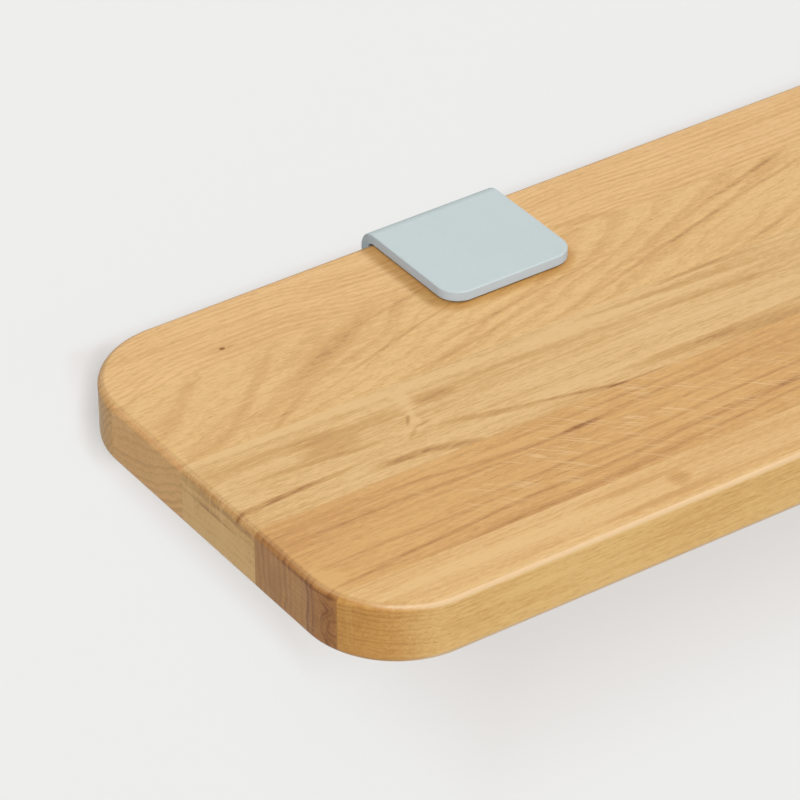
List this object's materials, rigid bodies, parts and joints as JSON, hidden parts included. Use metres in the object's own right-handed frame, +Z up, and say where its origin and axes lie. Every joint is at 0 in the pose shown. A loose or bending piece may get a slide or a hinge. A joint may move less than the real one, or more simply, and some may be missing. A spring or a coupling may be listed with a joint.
{
  "type": "wall-mounted nightstand",
  "caption": "Wall-mounted oak nightstand board with rounded corners, held by folded steel brackets whose tongues wrap over its back edge and whose clamp screws pinch it from below.",
  "frame": {"origin": "on the wall plane, at the middle of the board's length, level with the board's top surface", "axes": "+X along the board to the right as seen from the front, +Y into the wall, +Z up"},
  "size_m": [0.6, 0.2048, 0.14],
  "materials": {
    "oak_rear": "satin",
    "oak_second": "satin",
    "oak_third": "satin",
    "oak_fourth": "satin",
    "oak_front": "satin",
    "powder_coat": "matt",
    "zinc_plate": "satin",
    "black_steel": "satin",
    "pad_rubber": "matt"
  },
  "bodies": {
    "shelf": {"rear_stave": "oak_rear", "second_stave": "oak_second", "third_stave": "oak_third", "fourth_stave": "oak_fourth", "front_stave": "oak_front", "left_wall_strap": "powder_coat", "left_arm": "powder_coat", "left_tongue_pad": "pad_rubber", "left_rear_rest_pad": "pad_rubber", "left_front_rest_pad": "pad_rubber", "left_clamp_bridge": "powder_coat", "left_weld_nut": "zinc_plate", "right_wall_strap": "powder_coat", "right_arm": "powder_coat", "right_tongue_pad": "pad_rubber", "right_rear_rest_pad": "pad_rubber", "right_front_rest_pad": "pad_rubber", "right_clamp_bridge": "powder_coat", "right_weld_nut": "zinc_plate"},
    "left_jaw": {"left_pressure_plate": "zinc_plate", "left_pressure_pad": "pad_rubber"},
    "left_screw": {"left_clamp_screw": "black_steel", "left_retaining_ring": "zinc_plate"},
    "right_jaw": {"right_pressure_plate": "zinc_plate", "right_pressure_pad": "pad_rubber"},
    "right_screw": {"right_clamp_screw": "black_steel", "right_retaining_ring": "zinc_plate"}
  },
  "joints": [
    {"name": "left_jaw_travel", "type": "slide", "parent": "shelf", "child": "left_jaw", "axis": [0, 0, 1], "range_m": [-0.004, 0]},
    {"name": "left_screw_turn", "type": "hinge", "parent": "left_jaw", "child": "left_screw", "pos_m": [-0.1365, -0.03385, -0.0565], "axis": [0, 0, 1], "range_deg": [-1155, 0]},
    {"name": "right_jaw_travel", "type": "slide", "parent": "shelf", "child": "right_jaw", "axis": [0, 0, 1], "range_m": [-0.004, 0]},
    {"name": "right_screw_turn", "type": "hinge", "parent": "right_jaw", "child": "right_screw", "pos_m": [0.1365, -0.03385, -0.0565], "axis": [0, 0, 1], "range_deg": [-1155, 0]}
  ],
  "couplings": [
    {"joint": "left_screw_turn", "follows": "left_jaw_travel", "rad_per_m": 5026.5},
    {"joint": "right_screw_turn", "follows": "right_jaw_travel", "rad_per_m": 5026.5}
  ]
}
